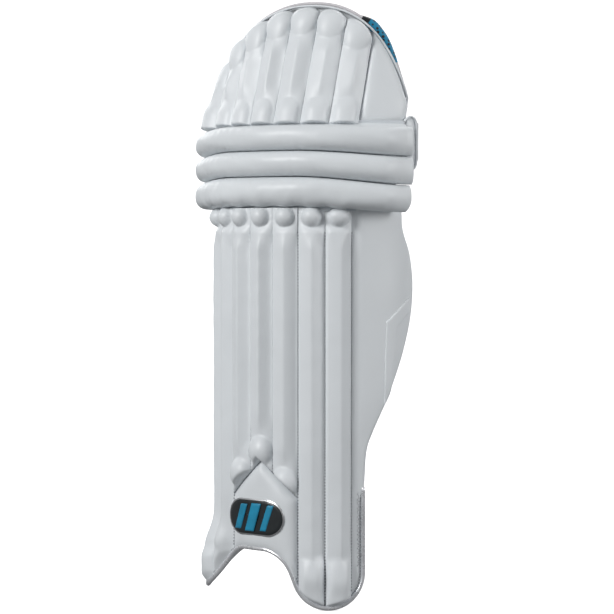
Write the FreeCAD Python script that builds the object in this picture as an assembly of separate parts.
import FreeCAD, Part

import math
import os

from FreeCAD import Vector

# Cricket leg pad for the left leg. Millimetres, +Z up, front of the pad towards -Y, large wing towards +X.
# The origin is on the leg's axis, level with the lowest point of the instep edge.
#
# Everything is laid out on three curved surfaces: shin, knee and top. A place on one is given by u, the
# distance round the leg from the centre line (+ towards the outer wing), by the height z, and by the offset
# in front of the surface (+) or behind it (-).

# ---------------------------------------------------------------- driving dimensions
LEG_AXIS = 78.0              # from the front of the shin surface back to the leg's axis
SHIN_TOP = 466.0             # where the shin ends under the knee rolls
KNEE_LEVELS = (467.0, 502.0, 532.0, 565.0)   # seams below, between and above the three knee rolls
TOP_LEAN = 0.30              # the top section leans back this much for each unit of height

SHIN_ARCS = ((46.5, 130.0), (108.5, 100.0), (260.0, 230.0))   # (ends at u, radius)
KNEE_ARCS = ((50.0, 175.0), (115.0, 130.0), (260.0, 200.0))
TOP_ARCS = ((50.0, 150.0), (116.0, 120.0), (260.0, 190.0))
KNEE_SETBACK = 4.0           # the knee surface lies this far behind the shin surface
TOP_SETBACK = 8.0

ROLL_COUNT = 7
SHIN_PITCH = 31.0
TOP_PITCH = 33.0
ROLL_HEIGHT = 10.5           # how far a filled vertical roll stands proud
ROLL_GAP = 0.6               # between neighbouring rolls
KNEE_ROLL_HEIGHT = 20.0
KNEE_ROLL_CLEARANCE = 2.4    # between neighbouring knee rolls, which close up as the knee bends
SKIN = 1.6                   # face material with its stitched-down backing
FIT = 0.15                   # room round a filling inside its cover
CANE_R = 2.6
CANE_SPACING = 11.0

BACKING = 5.0                # stiff board behind the rolls
LINING = 1.2
BOLSTER = 15.0
LAYER_GAP = 0.3

ARCH_R = 38.0                # instep arch, a circle of this radius
ARCH_TOP = 66.0
LOBE_R = 44.0                # rounded foot of the pad each side of the arch
LOBE_U = 82.0
INNER_ARCH_U = 28.0          # towards the inner foot the arch stays level this far,
INNER_FOOT_U = 100.0         # then sweeps down to the inner foot's lowest point,
INNER_FOOT_Z = 16.0          # which lies at this height;
INNER_FOOT_R = 26.0          # the inner foot's corner has this radius
BINDING_WIDTH = 6.0
BINDING_GAP = 1.3            # between the binding's inner edge and what it stops against
BINDING_TOP = 145.0          # where the side runs of the instep binding stop

PANEL_SHOULDER = 130.0       # plain panel over the instep: height at its sides
PANEL_APEX = 172.0
PANEL_HEIGHT = 7.0
PANEL_GAP = 2.0              # between the panel's pointed edge and the rolls that end over it
BADGE_R = 21.5
BADGE_STRAIGHT = 15.0        # half the length of the badge's straight edges
BADGE_Z = 107.0
BADGE_U = -4.0

OUTER_WING = (                # (distance round, height) along each wing's free edge
    (126, 146), (129, 184), (138, 208), (160, 252), (180, 299),
    (192, 340), (195, 378), (190, 412), (179, 440), (177, 458),
)
INNER_WING = (
    (126, 146), (129, 184), (135, 220), (145, 268), (152, 320),
    (154, 368), (150, 412), (143, 440), (141, 458),
)
WING_TOP = 458.0
WING_THICK = 12.0
WING_TRIM = ((148, 233), (158, 247), (162, 289), (167, 328), (188, 345), (186, 362), (151, 334), (149, 290))

CREST_TOP = 699.0            # highest point of the top section's face
CREST_U = 25.0
TOP_OUTER_U = 172.0
TOP_INNER_U = 148.0
CREST_OVERHANG = 9.0         # the back cushion stands out past the face by this much
TOP_CUSHION = 14.0
TOP_BINDING = 3.0
TOP_BINDING_GAP = 1.0

KNEE_INNER_U = 147.0
KNEE_OUTER_U = 178.0

BOLSTER_SPANS = ((-98.0, -50.0, 52.0), (-34.0, 34.0, 84.0), (50.0, 98.0, 52.0))   # (from u, to u, from z)
BOLSTER_TOP = 448.0
BOLSTER_ROUND = 6.0

STRAP_THICK = 2.4
RING_WIRE = 2.0              # radius of the ring's wire
RING_SPAN = 18.0             # between the ring's two upright bars
FOLD_R = 4.6                 # centre line of the strap's fold round the ring
RING_MARGIN = 4.0            # inside height of the ring beyond the strap's width
TAIL_EASE = 16.0             # length of each bend that brings the tail down on to the strap
TAIL_EASE_TURN = 21.0        # degrees
TAIL_GAP = 0.4               # between the strap and the tail that lies on it
TAIL_SPLIT = 0.2             # between the fold's end and the tail that peels away from it
HOOK_THICK = 0.9
HOOK_LENGTH = 48.0
HOOK_MARGIN = 3.0
TAB_THICK = 1.6              # each ply of the webbing that holds a ring
PATCH_THICK = 2.0            # the sewn-down end of that webbing

# Each strap is sewn down at root_u on the inner side, at that offset from its surface. Its runs are
# (length, radius) seen from above, turning right round the back of the leg. Its ring hangs from a patch
# (from u, to u, height) on the outer side.
STRAPS = {
    "calf": {
        "knee": False, "root_u": 126.0, "offset": -9.6, "z_mid": 345.0, "width": 38.0, "tail": 92.0,
        "runs": ((20.0, -218.0), (72.0, -45.0), (94.0, -190.0), (72.0, -92.0)),
        "tab_u": 150.0, "tab_offset": -9.9, "patch": (124.0, 158.0, 48.0),
    },
    "ankle": {
        "knee": False, "root_u": 104.0, "offset": -9.9, "z_mid": 170.0, "width": 32.0, "tail": 78.0,
        "runs": ((20.0, -200.0), (60.0, -40.0), (70.0, -120.0), (62.0, -80.0)),
        "tab_u": 112.0, "tab_offset": -9.8, "patch": (101.0, 120.0, 38.0),
    },
    "knee": {
        "knee": True, "root_u": 134.0, "offset": -8.2, "z_mid": 543.0, "width": 42.0, "tail": 80.0,
        "runs": ((18.0, -190.0), (84.0, -52.0), (112.0, -200.0), (72.0, -80.0)),
        "tab_u": 180.0, "tab_offset": -8.2, "patch": (156.0, 196.0, 44.0),
    },
}


# ---------------------------------------------------------------- plan curves
class Plan:
    """A chain of tangent arcs seen from above. A positive radius turns left; no radius is a straight run."""

    def __init__(self, start, heading, runs, zero=0.0):
        self.zero = zero
        self.runs = []
        s, point, angle = 0.0, Vector(*start, 0), heading
        for length, radius in runs:
            self.runs.append((s, s + length, point, angle, radius))
            point, angle = self._along(point, angle, radius, length)
            s += length

    @staticmethod
    def _along(point, angle, radius, length):
        if radius is None:
            return point + Vector(math.cos(angle), math.sin(angle), 0) * length, angle
        end = angle + length / radius
        step = Vector(math.sin(end) - math.sin(angle), math.cos(angle) - math.cos(end), 0)
        return point + step * radius, end

    def at(self, u, offset=0.0):
        """The point at u, moved by offset to the right-hand side, and the heading there."""
        s = u + self.zero
        run = next((r for r in self.runs if s <= r[1]), self.runs[-1])
        point, angle = self._along(run[2], run[3], run[4], s - run[0])
        return point + Vector(math.sin(angle), -math.cos(angle), 0) * offset, angle

    def joins(self, u0, u1):
        """The ends of the arcs that lie between u0 and u1, with u0 and u1."""
        inside = [r[1] - self.zero for r in self.runs if u0 + 0.01 < r[1] - self.zero < u1 - 0.01]
        return [u0] + inside + [u1]

    def edges(self, u0, u1, offset):
        stations = self.joins(u0, u1)
        made = []
        for a, b in zip(stations, stations[1:]):
            first, middle, last = (self.at(u, offset)[0] for u in (a, (a + b) / 2, b))
            if abs((middle - first).cross(last - first).z) < 1e-7:
                made.append(Part.LineSegment(first, last).toShape())
            else:
                made.append(Part.Arc(first, middle, last).toShape())
        return made

    def band(self, u0, u1, low, high):
        """The flat face between two offsets, from u0 to u1."""
        front, back = self.edges(u0, u1, high), self.edges(u0, u1, low)
        ends = [Part.LineSegment(self.at(u, low)[0], self.at(u, high)[0]).toShape() for u in (u0, u1)]
        return Part.Face(Part.Wire(Part.__sortEdges__(front + back + ends)))


def body_plan(arcs, setback):
    """A symmetrical plan curve with u = 0 on the centre line, from (ends at u, radius) pairs."""
    lengths, previous = [], 0.0
    for end, radius in arcs:
        lengths.append((end - previous, radius))
        previous = end
    half = Plan((0, 0), 0.0, lengths)
    end, angle = half.at(arcs[-1][0])
    runs = lengths[::-1] + lengths
    return Plan((-end.x, end.y + setback - LEG_AXIS), -angle, runs, zero=arcs[-1][0])


class Surface:
    """A plan curve drawn upwards, leaning back by lean above the height z_ref."""

    def __init__(self, arcs, setback=0.0, z_ref=0.0, lean=0.0):
        self.plan = body_plan(arcs, setback)
        self.z_ref = z_ref
        self.lean = lean

    def point(self, u, z, offset=0.0):
        flat, _ = self.plan.at(u, offset)
        return flat + Vector(0, self.lean * (z - self.z_ref), z)

    def facing(self, u):
        """The level directions along the surface and straight out of it, at u."""
        angle = self.plan.at(u)[1]
        return Vector(math.cos(angle), math.sin(angle), 0), Vector(math.sin(angle), -math.cos(angle), 0)

    def raise_face(self, face, z0, z1):
        face.translate(Vector(0, self.lean * (z0 - self.z_ref), z0))
        return face.extrude(Vector(0, self.lean * (z1 - z0), z1 - z0))

    def slab(self, u0, u1, low, high, z0, z1):
        return self.raise_face(self.plan.band(u0, u1, low, high), z0, z1)

    def trimmed(self, solid, u0, u1, bottom, top):
        """solid, cut to the heights bottom(u) and top(u); u0 to u1 is no wider than one side or the front."""
        along, through = self.facing((u0 + u1) / 2)
        margin, steps = 6.0, 24
        stations = [u0 - margin + (u1 - u0 + 2 * margin) * i / steps for i in range(steps + 1)]

        def curve(height):
            heights = [height(min(max(u, u0), u1)) for u in stations]
            flat = [along * self.point(u, z).dot(along) + Vector(0, 0, z) for u, z in zip(stations, heights)]
            if max(heights) - min(heights) < 1e-6:
                return Part.LineSegment(flat[0], flat[-1]).toShape(), flat[0], flat[-1]
            line = Part.BSplineCurve()
            line.interpolate(flat)
            return line.toShape(), flat[0], flat[-1]

        low, low_start, low_end = curve(bottom)
        high, high_start, high_end = curve(top)
        sides = [
            Part.LineSegment(low_start, high_start).toShape(),
            Part.LineSegment(low_end, high_end).toShape(),
        ]
        face = Part.Face(Part.Wire(Part.__sortEdges__([low, high] + sides)))
        face.translate(through * -130)
        return solid.common(face.extrude(through * 260))

    def panel(self, u0, u1, low, high, bottom, top):
        """A curved panel between two offsets whose lower and upper edges follow bottom(u) and top(u)."""
        stations = self.plan.joins(u0, u1)
        lowest = min(bottom(u0 + (u1 - u0) * i / 60) for i in range(61)) - 2
        highest = max(top(u0 + (u1 - u0) * i / 60) for i in range(61)) + 2
        parts = [
            self.trimmed(self.slab(a, b, low, high, lowest, highest), a, b, bottom, top)
            for a, b in zip(stations, stations[1:])
        ]
        return parts[0].fuse(parts[1:]).removeSplitter() if len(parts) > 1 else parts[0]

    def hump(self, u_mid, width, height, foot, z0, z1, rise=0.0):
        """An upright roll with a curved front, from the offset foot to height; rise lifts its sides."""
        left, right = u_mid - width / 2, u_mid + width / 2
        back = Part.Arc(*(self.plan.at(u, foot)[0] for u in (left, u_mid, right))).toShape()
        corners = [self.plan.at(u, rise)[0] for u in (left, right)]
        front = Part.Arc(corners[0], self.plan.at(u_mid, height)[0], corners[1]).toShape()
        sides = [
            Part.LineSegment(self.plan.at(u, foot)[0], corner).toShape()
            for u, corner in zip((left, right), corners)
        ]
        face = Part.Face(Part.Wire(Part.__sortEdges__([back, front] + sides)))
        return self.raise_face(face, z0, z1)

    def cross_roll(self, u0, u1, z0, z1, low, height):
        """A roll that runs round the leg: an arched section from the offset low out to height."""
        stations = self.plan.joins(u0, u1)
        parts = []
        for a, b in zip(stations, stations[1:]):
            start, angle = self.plan.at(a)
            radius = next(r[4] for r in self.plan.runs if a + self.plan.zero < r[1] - 0.005)
            out = Vector(math.sin(angle), -math.cos(angle), 0)
            foot, top = start + out * low, start + out * low
            foot.z, top.z = z0, z1
            peak = start + out * height
            peak.z = (z0 + z1) / 2
            arch = Part.Arc(foot, peak, top).toShape()
            face = Part.Face(Part.Wire([arch, Part.LineSegment(top, foot).toShape()]))
            centre = start - out * radius
            parts.append(face.revolve(centre, Vector(0, 0, 1), math.degrees((b - a) / radius)))
        return parts[0].fuse(parts[1:]).removeSplitter() if len(parts) > 1 else parts[0]


SHIN = Surface(SHIN_ARCS)
KNEE = Surface(KNEE_ARCS, KNEE_SETBACK)
TOP = Surface(TOP_ARCS, TOP_SETBACK, KNEE_LEVELS[-1], TOP_LEAN)


# ---------------------------------------------------------------- outlines
def level(z):
    return lambda u: z


def smooth_step(t):
    t = min(max(t, 0.0), 1.0)
    return t * t * (3 - 2 * t)


def instep_edge(inset=0.0):
    """Height of the pad's lower edge at u: the arch, the outer flank and foot, and the inner foot."""
    arch_r, lobe_r = ARCH_R + inset, LOBE_R - inset
    arch_z, lobe_z = ARCH_TOP - ARCH_R, LOBE_R
    apart = math.hypot(LOBE_U, lobe_z - arch_z)
    normal = math.atan2(lobe_z - arch_z, LOBE_U) + math.acos((arch_r + lobe_r) / apart)
    start = (arch_r * math.cos(normal), arch_z + arch_r * math.sin(normal))
    end = (LOBE_U - lobe_r * math.cos(normal), lobe_z - lobe_r * math.sin(normal))

    def height(u):
        if u < 0:
            return inner_edge(-u, inset)
        if u <= start[0]:
            return arch_z + math.sqrt(arch_r ** 2 - u ** 2)
        if u < end[0]:
            return start[1] + (end[1] - start[1]) * (u - start[0]) / (end[0] - start[0])
        return lobe_z - math.sqrt(max(lobe_r ** 2 - (u - LOBE_U) ** 2, 0.0))

    return height


def inner_edge(away, inset):
    """Height of the lower edge at a distance from the centre line towards the inner foot."""
    if away > INNER_FOOT_U:
        corner = INNER_FOOT_R - inset
        return INNER_FOOT_Z + INNER_FOOT_R - math.sqrt(max(corner ** 2 - (away - INNER_FOOT_U) ** 2, 0.0))
    width, fall = INNER_FOOT_U - INNER_ARCH_U, ARCH_TOP - INNER_FOOT_Z
    t = max(away - INNER_ARCH_U, 0.0) / width
    slope = fall * 6 * t * (1 - t) / width
    return ARCH_TOP - fall * smooth_step(t) + inset * math.hypot(1, slope)


def crest(overhang=0.0):
    """Height of the top section's upper edge at u; the outer side keeps its height for longer."""

    def height(u):
        away = abs(u - CREST_U)
        if u > CREST_U:
            drop = 134.0 * (away / (155.0 + overhang)) ** 2.5
        else:
            drop = 59.0 * (away / (125.0 + overhang)) ** 1.9
        return CREST_TOP + overhang - drop

    return height


def roof(u):
    """Height of the instep panel's pointed upper edge."""
    return PANEL_APEX - (PANEL_APEX - PANEL_SHOULDER) * abs(u) / SHIN_ARCS[0][0]


def wing_plate(surface, side, edge_points, low, high, z_top, inset=0.0):
    """A plate on one side of the shin, out to edge_points, given as (distance round, height)."""
    inner_u = SHIN_ARCS[1][0] + ROLL_GAP + inset
    outer_u = max(u for u, _ in edge_points) + 1
    u0, u1 = (inner_u, outer_u) if side > 0 else (-outer_u, -inner_u)
    along, through = surface.facing((u0 + u1) / 2)

    def flat(u, z):
        return along * surface.point(side * u, z).dot(along) + Vector(0, 0, z)

    first, last = edge_points[0], edge_points[-1]
    rim = [flat(first[0] - inset, first[1] + inset)]
    rim += [flat(u - inset, z) for u, z in edge_points[1:-1]]
    rim.append(flat(last[0] - inset, z_top - inset))
    line = Part.BSplineCurve()
    line.interpolate(rim)
    low_corner = flat(inner_u - 8, first[1] + inset)
    high_corner = flat(inner_u - 8, z_top - inset)
    outline = [
        line.toShape(),
        Part.LineSegment(rim[-1], high_corner).toShape(),
        Part.LineSegment(high_corner, low_corner).toShape(),
        Part.LineSegment(low_corner, rim[0]).toShape(),
    ]
    face = Part.Face(Part.Wire(Part.__sortEdges__(outline)))
    face.translate(through * -130)
    slab = surface.slab(u0, u1, low, high, first[1] - 2, z_top + 2)
    return slab.common(face.extrude(through * 260))


# ---------------------------------------------------------------- vertical rolls
def roll_set(surface, pitch, bottom, top, end_cap):
    """Covers, fillings and cane rods for a row of upright rolls whose ends follow bottom(u) and top(u)."""
    covers, fillings, canes = [], [], []
    width = pitch - ROLL_GAP
    for i in range(ROLL_COUNT):
        u = (i - (ROLL_COUNT - 1) / 2) * pitch
        u0, u1 = u - width / 2, u + width / 2
        samples = [u0 + (u1 - u0) * k / 20 for k in range(21)]
        z0, z1 = min(map(bottom, samples)), max(map(top, samples))
        solid = surface.hump(u, width, ROLL_HEIGHT, 0.1, z0 - 1, z1 + 1, rise=2.4)
        solid = surface.trimmed(solid, u0, u1, bottom, top)
        inner_z0 = max(map(bottom, samples)) + end_cap
        inner_z1 = min(map(top, samples)) - end_cap
        cavity = surface.hump(u, width - 2 * SKIN, ROLL_HEIGHT - SKIN, -1.0, inner_z0, inner_z1, rise=1.6)
        covers.append(solid.cut(cavity))
        slack = SKIN + FIT
        filling = surface.hump(
            u, width - 2 * slack, ROLL_HEIGHT - slack, 0.15, inner_z0 + FIT, inner_z1 - FIT, rise=1.4
        )
        rods = []
        for side in (-1, 1):
            place = surface.point(u + side * CANE_SPACING / 2, inner_z0 + 3, 4.2)
            direction = Vector(0, surface.lean, 1)
            length = (inner_z1 - inner_z0 - 6) * direction.Length
            rods.append(Part.makeCylinder(CANE_R, length, place, direction))
            filling = filling.cut(Part.makeCylinder(CANE_R + 0.05, length + 0.2, place, direction))
        fillings.append(filling)
        canes += rods
    return covers, fillings, canes


def shin_roll_bottom(u):
    """The middle rolls stop at the instep panel's pointed edge, the others at the binding."""
    if abs(u) < 1.5 * SHIN_PITCH:
        return roof(u) + PANEL_GAP
    return instep_edge(BINDING_WIDTH + BINDING_GAP)(u)


# ---------------------------------------------------------------- straps
def strap_set(surface, size):
    """One closed strap: sewn at the inner side, round the back of the leg, and folded round its ring."""
    width, tail_length = size["width"], size["tail"]
    z0, z1 = size["z_mid"] - width / 2, size["z_mid"] + width / 2
    start, heading = surface.plan.at(-size["root_u"], size["offset"])
    route = Plan((start.x, start.y), heading + math.pi, size["runs"])
    length = route.runs[-1][1]
    half = STRAP_THICK / 2
    end, angle = route.at(length)
    left = Vector(-math.sin(angle), math.cos(angle), 0)
    ahead = Vector(math.cos(angle), math.sin(angle), 0)

    fold = Plan((end.x, end.y), angle, [(math.pi * FOLD_R, FOLD_R)])
    fold_end, back_angle = fold.at(math.pi * FOLD_R)
    main = route.band(0, length, -half, half).extrude(Vector(0, 0, width))
    turn = fold.band(0, math.pi * FOLD_R, -half, half).extrude(Vector(0, 0, width))
    strap = main.fuse(turn).removeSplitter()
    strap.translate(Vector(0, 0, z0))

    bend = math.radians(TAIL_EASE_TURN)
    last_radius = -size["runs"][-1][1]
    follow = last_radius + STRAP_THICK + TAIL_GAP
    ease_out = TAIL_EASE / (2 * TAIL_EASE / last_radius - bend)
    tail_runs = [(TAIL_EASE, TAIL_EASE / bend), (TAIL_EASE, ease_out), (tail_length - 2 * TAIL_EASE, follow)]
    tail_start = fold_end + Vector(math.cos(back_angle), math.sin(back_angle), 0) * TAIL_SPLIT
    tail_route = Plan((tail_start.x, tail_start.y), back_angle, tail_runs)
    tail = tail_route.band(0, tail_length, -half, half).extrude(Vector(0, 0, width))
    tail.translate(Vector(0, 0, z0))
    outside = tail_route.at(0, half)[0]

    first = tail_length - HOOK_LENGTH - HOOK_MARGIN - 1
    last = first + HOOK_LENGTH
    room, high = 0.1, width - 2 * HOOK_MARGIN
    pocket = tail_route.band(first, last, -half - room, -half + HOOK_THICK).extrude(Vector(0, 0, high))
    pocket.translate(Vector(0, 0, z0 + HOOK_MARGIN))
    tail = tail.cut(pocket)
    patch = tail_route.band(first + room, last - room, -half, -half + HOOK_THICK - room)
    hook = patch.extrude(Vector(0, 0, high - 2 * room))
    hook.translate(Vector(0, 0, z0 + HOOK_MARGIN + room))

    near_bar = end + left * FOLD_R
    far_bar = near_bar + ahead * RING_SPAN
    ring = ring_solid(near_bar, far_bar, z0 - RING_MARGIN / 2 - RING_WIRE, z1 + RING_MARGIN / 2 + RING_WIRE)
    solids = {"strap": strap, "strap_tail": tail, "hook_patch": hook, "ring": ring}
    return solids, far_bar, outside


def ring_solid(near_bar, far_bar, z0, z1):
    """A rectangular wire ring standing between two upright bars, with rounded corners."""
    pieces = []
    for bar in (near_bar, far_bar):
        pieces.append(Part.makeCylinder(RING_WIRE, z1 - z0, bar + Vector(0, 0, z0), Vector(0, 0, 1)))
    across = far_bar - near_bar
    for z in (z0, z1):
        low = near_bar + Vector(0, 0, z)
        pieces.append(Part.makeCylinder(RING_WIRE, across.Length, low, across))
        pieces += [Part.makeSphere(RING_WIRE, bar + Vector(0, 0, z)) for bar in (near_bar, far_bar)]
    return pieces[0].fuse(pieces[1:]).removeSplitter()


def ring_tab(surface, size, bar):
    """A webbing loop round the ring's far bar, whose two plies run into a patch sewn inside the pad."""
    thick, offset, width = TAB_THICK, size["tab_offset"], size["width"] - 2 * HOOK_MARGIN
    loop_r = RING_WIRE + 0.5 + thick / 2
    aim = surface.plan.at(size["tab_u"], offset - PATCH_THICK / 2)[0] - bar
    aim_angle = math.atan2(aim.y, aim.x)
    side = Vector(-math.sin(aim_angle), math.cos(aim_angle), 0) * loop_r
    reach = aim.Length
    loop = Plan((bar.x + side.x, bar.y + side.y), aim_angle + math.pi, [(math.pi * loop_r, loop_r)])
    turn = loop.band(0, math.pi * loop_r, -thick / 2, thick / 2)
    solids = [turn.extrude(Vector(0, 0, width))]
    for sign in (1, -1):
        begin = bar + side * sign
        run = Plan((begin.x, begin.y), aim_angle, [(reach, None)])
        solids.append(run.band(0, reach, -thick / 2, thick / 2).extrude(Vector(0, 0, width)))
    u0, u1, height = size["patch"]
    patch = surface.plan.band(u0, u1, offset - PATCH_THICK / 2, offset + PATCH_THICK / 2)
    patch = patch.extrude(Vector(0, 0, height))
    patch.translate(Vector(0, 0, (width - height) / 2))
    tab = solids[0].fuse(solids[1:] + [patch]).removeSplitter()
    tab.translate(Vector(0, 0, size["z_mid"] - width / 2))
    return tab


# ---------------------------------------------------------------- assembly
def make_shin(nodes):
    covers, fillings, canes = roll_set(SHIN, SHIN_PITCH, shin_roll_bottom, level(SHIN_TOP), end_cap=2.0)
    for i, cover in enumerate(covers):
        nodes[f"shin_roll_cover_{i + 1}"] = cover
    nodes["shin_roll_filling"] = Part.makeCompound(fillings)
    nodes["shin_cane_rods"] = Part.makeCompound(canes)

    rim = SHIN_ARCS[1][0]
    above_binding = instep_edge(BINDING_WIDTH + BINDING_GAP)
    nodes["shin_backing"] = SHIN.panel(-rim, rim, -BACKING, 0.0, above_binding, level(SHIN_TOP))
    lining_front = -BACKING - LAYER_GAP
    lining_back = lining_front - LINING
    nodes["shin_lining"] = SHIN.panel(-rim, rim, lining_back, lining_front, above_binding, level(SHIN_TOP))

    edge = SHIN_ARCS[0][0] - ROLL_GAP / 2
    nodes["instep_panel"] = SHIN.panel(-edge, edge, 0.1, PANEL_HEIGHT, above_binding, roof)
    nodes["instep_badge"] = badge()
    nodes["instep_binding"] = instep_binding()

    inner_face = lining_back - LAYER_GAP
    nodes["shin_bolsters"] = Part.makeCompound([bolster(*span, inner_face) for span in BOLSTER_SPANS])


def badge():
    """A thin round-ended plate set on the instep panel, with nothing written on it."""
    plate = SHIN.slab(BADGE_U - 36, BADGE_U + 36, PANEL_HEIGHT + 0.1, PANEL_HEIGHT + 1.3, 80.0, 134.0)
    middle = SHIN.point(BADGE_U, BADGE_Z)
    half = BADGE_STRAIGHT
    ends = [Vector(middle.x + s * half, -LEG_AXIS - 40, BADGE_Z) for s in (-1, 1)]
    tools = [Part.makeCylinder(BADGE_R, 80, e, Vector(0, 1, 0)) for e in ends]
    low = Vector(middle.x - half, -LEG_AXIS - 40, BADGE_Z - BADGE_R)
    tools.append(Part.makeBox(2 * half, 80, 2 * BADGE_R, low))
    return plate.common(tools[0].fuse(tools[1:]).removeSplitter())


def instep_binding():
    """The bright edge binding: along the feet and the arch, and up both sides."""
    side_u = LOBE_U + LOBE_R
    low, high = -BACKING - 1.5, 4.0
    inner, outer = instep_edge(BINDING_WIDTH), instep_edge(0.0)
    reach = side_u - BINDING_WIDTH
    strip = SHIN.panel(-reach, reach, low, high, outer, inner)
    pieces = [strip]
    for side in (-1, 1):
        u0, u1 = sorted((side * reach, side * side_u))
        run = SHIN.slab(u0, u1, low, high, outer(reach), BINDING_TOP)
        pieces.append(SHIN.trimmed(run, u0, u1, outer, level(BINDING_TOP)))
    return pieces[0].fuse(pieces[1:]).removeSplitter()


def bolster(u0, u1, z0, front):
    """An upright cushion behind the shin, with the long edges of its back softened."""
    back = front - BOLSTER
    block = SHIN.slab(u0, u1, back, front, z0, BOLSTER_TOP)
    corners = [SHIN.point(u, (z0 + BOLSTER_TOP) / 2, back) for u in (u0, u1)]
    chosen = [edge for edge in block.Edges if any((edge.CenterOfMass - c).Length < 1.0 for c in corners)]
    return block.makeFillet(BOLSTER_ROUND, chosen)


def make_wings(nodes):
    flaps = []
    for name, side, points in (("outer", 1, OUTER_WING), ("inner", -1, INNER_WING)):
        back = -WING_THICK / 2 - 2
        shell = wing_plate(SHIN, side, points, back, WING_THICK / 2 - 2, WING_TOP)
        low, high = back + SKIN, WING_THICK / 2 - 2 - SKIN
        hollow = wing_plate(SHIN, side, points, low, high, WING_TOP, inset=2.5)
        nodes[f"{name}_wing_cover"] = shell.cut(hollow)
        foam = wing_plate(SHIN, side, points, low + FIT, high - FIT, WING_TOP, inset=2.5 + FIT)
        nodes[f"{name}_wing_foam"] = foam
        rim = SHIN_ARCS[1][0] + ROLL_GAP
        foot_u = LOBE_U + LOBE_R - BINDING_WIDTH - BINDING_GAP
        u0, u1 = sorted((side * rim, side * foot_u))
        foot_bottom = instep_edge(BINDING_WIDTH + BINDING_GAP)
        flaps.append(SHIN.panel(u0, u1, -BACKING, 1.5, foot_bottom, level(OUTER_WING[0][1] - 0.5)))
    nodes["foot_flaps"] = Part.makeCompound(flaps)
    nodes["outer_wing_trim"] = wing_trim()


def wing_trim():
    """A raised band on the outer wing: parallel to the rolls, then slanting up to the wing's edge."""
    front = WING_THICK / 2 - 2
    left, right = min(u for u, _ in WING_TRIM), max(u for u, _ in WING_TRIM)
    bottom, top = min(z for _, z in WING_TRIM), max(z for _, z in WING_TRIM)
    slab = SHIN.slab(left - 1, right + 1, front + 0.1, front + 1.7, bottom - 2, top + 2)
    along, through = SHIN.facing((left + right) / 2)
    corners = [along * SHIN.point(u, z).dot(along) + Vector(0, 0, z) for u, z in WING_TRIM]
    face = Part.Face(Part.makePolygon(corners + corners[:1]))
    face.translate(through * -130)
    return slab.common(face.extrude(through * 260))


def make_knee(nodes):
    for i, name in enumerate(("lower", "middle", "upper")):
        z0, z1 = KNEE_LEVELS[i] + KNEE_ROLL_CLEARANCE / 2, KNEE_LEVELS[i + 1] - KNEE_ROLL_CLEARANCE / 2
        u0, u1 = -KNEE_INNER_U, KNEE_OUTER_U
        height = min(KNEE_ROLL_HEIGHT, (z1 - z0) * 0.62)
        outer = KNEE.cross_roll(u0, u1, z0, z1, 0.1, height)
        hollow = KNEE.cross_roll(u0 + 2.5, u1 - 2.5, z0 + SKIN, z1 - SKIN, -1.0, height - SKIN)
        nodes[f"knee_roll_cover_{name}"] = outer.cut(hollow)
        slack = SKIN + FIT
        filling = KNEE.cross_roll(u0 + 2.7, u1 - 2.7, z0 + slack + 0.4, z1 - slack - 0.4, 0.2, height - slack)
        nodes[f"knee_roll_foam_{name}"] = filling
        nodes[f"knee_backing_{name}"] = KNEE.slab(u0, u1, -BACKING, 0.0, z0, z1)
    z_low, z_high = KNEE_LEVELS[1] + 4, KNEE_LEVELS[2] - 4
    cup = KNEE.slab(-56, 56, -BACKING - 18, -BACKING - 4, 476.0, 556.0)
    stem = KNEE.slab(-40, 40, -BACKING - 5, -BACKING - 0.1, z_low, z_high)
    nodes["knee_cup"] = cup.fuse(stem).removeSplitter()


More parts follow.
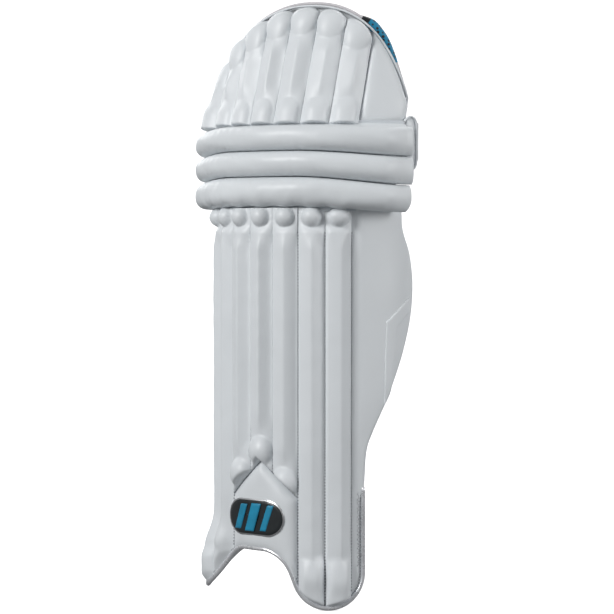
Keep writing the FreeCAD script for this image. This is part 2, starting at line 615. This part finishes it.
def make_top(nodes):
    face_bottom = KNEE_LEVELS[-1] + 1.5
    edge = crest(0.0)
    covers, fillings, canes = roll_set(TOP, TOP_PITCH, level(face_bottom), edge, end_cap=2.0)
    for i, cover in enumerate(covers):
        nodes[f"top_roll_cover_{i + 1}"] = cover
    nodes["top_roll_filling"] = Part.makeCompound(fillings)
    nodes["top_cane_rods"] = Part.makeCompound(canes)
    rim = TOP_PITCH * ROLL_COUNT / 2
    nodes["top_backing"] = TOP.panel(-rim, rim, -BACKING, 0.0, level(face_bottom), edge)
    wing_bottom = level(face_bottom + 2.5)
    outer = TOP.panel(rim + 0.5, TOP_OUTER_U, -BACKING, 7.0, wing_bottom, edge)
    inner = TOP.panel(-TOP_INNER_U, -rim - 0.5, -BACKING, 7.0, wing_bottom, edge)
    nodes["top_side_flaps"] = Part.makeCompound([outer, inner])
    low, high = crest(TOP_BINDING_GAP), crest(TOP_BINDING_GAP + TOP_BINDING)
    nodes["top_binding"] = TOP.panel(-TOP_INNER_U + 4, TOP_OUTER_U - 4, -2.0, 3.0, low, high)
    back = -BACKING - LAYER_GAP
    cushion_edge = crest(CREST_OVERHANG)
    u0, u1 = -TOP_INNER_U, TOP_OUTER_U + 2
    nodes["top_bolster"] = TOP.panel(u0, u1, back - TOP_CUSHION, back, level(face_bottom + 8), cushion_edge)
    back -= TOP_CUSHION + LAYER_GAP
    nodes["top_lining"] = TOP.panel(u0, u1, back - LINING, back, level(face_bottom + 8), cushion_edge)


def make_straps(nodes):
    for name, size in STRAPS.items():
        surface = KNEE if size["knee"] else SHIN
        solids, bar, hinge = strap_set(surface, size)
        for part, solid in solids.items():
            nodes[f"{name}_{part}"] = solid
        nodes[f"{name}_ring_tab"] = ring_tab(surface, size, bar)
        places = f"ring swivels at ({bar.x:.2f}, {bar.y:.2f}), tail peels at ({hinge.x:.2f}, {hinge.y:.2f})"
        print(f"{name}: {places}")


def main():
    nodes = {}
    make_shin(nodes)
    make_wings(nodes)
    make_knee(nodes)
    make_top(nodes)
    make_straps(nodes)
    os.makedirs("parts", exist_ok=True)
    for old in os.listdir("parts"):
        if old.endswith(".step"):
            os.remove(os.path.join("parts", old))
    for name, shape in nodes.items():
        shape.exportStep(os.path.join("parts", name + ".step"))
    print(f"{len(nodes)} nodes")
    return nodes


NODES = main()
